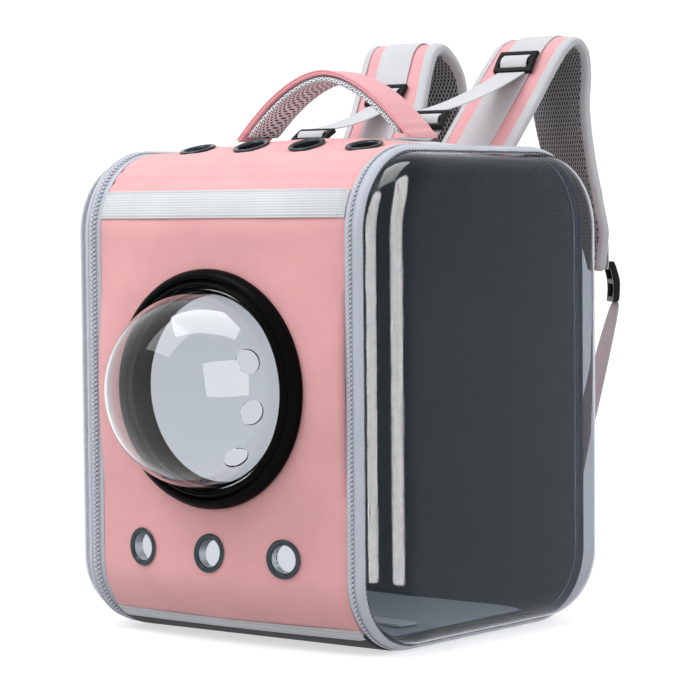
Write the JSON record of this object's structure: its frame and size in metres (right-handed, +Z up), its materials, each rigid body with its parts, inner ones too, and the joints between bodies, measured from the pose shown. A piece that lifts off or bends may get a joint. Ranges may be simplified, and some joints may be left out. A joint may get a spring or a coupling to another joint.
{
  "type": "pet carrier backpack",
  "caption": "Boxy padded pet carrier backpack with a round clear dome on the front, two clear side trays that zip on, a carry handle and a pair of shoulder straps.",
  "frame": {"origin": "centre of the flat base panel, on its underside", "axes": "+Z up, -Y towards the front with the dome, +Y towards the back with the straps, +X to the right as seen from the front"},
  "size_m": [0.3562, 0.5409, 0.5254],
  "materials": {
    "pink": "matte",
    "charcoal": "matte",
    "mat": "matte",
    "tape": "matte",
    "web": "matte",
    "mesh": "matte",
    "clear": "clear",
    "ring": "gloss",
    "plastic": "satin",
    "eyelet": "dark satin"
  },
  "bodies": {
    "root": {"body_band": "pink", "base_panel": "charcoal", "lining": "charcoal", "zip_tape_left": "tape", "zip_coil_left": "tape", "window_binding_left": "tape", "side_window_left": "clear", "zip_tape_right": "tape", "zip_coil_right": "tape", "window_binding_right": "tape", "side_window_right": "clear", "dome_ring": "ring", "dome": "clear", "eyelet_front_1": "eyelet", "eyelet_front_2": "eyelet", "eyelet_front_3": "eyelet", "eyelet_top_1": "eyelet", "eyelet_top_2": "eyelet", "eyelet_top_3": "eyelet", "eyelet_top_4": "eyelet", "front_web": "web", "base_web": "web", "carry_handle": "pink", "handle_lining": "mesh", "handle_patch_left": "web", "handle_patch_right": "web", "strap_pad_left": "pink", "strap_web_left": "web", "lifter_lock_left": "plastic", "lifter_anchor_left": "web", "lifter_buckle_left": "plastic", "lifter_web_left": "web", "lower_lock_left": "plastic", "lower_web_left": "web", "strap_pad_right": "pink", "strap_web_right": "web", "lifter_lock_right": "plastic", "lifter_anchor_right": "web", "lifter_buckle_right": "plastic", "lifter_web_right": "web", "lower_lock_right": "plastic", "lower_web_right": "web", "floor_mat": "mat", "leash_tab": "web", "leash_clip": "plastic"}
  },
  "joints": []
}
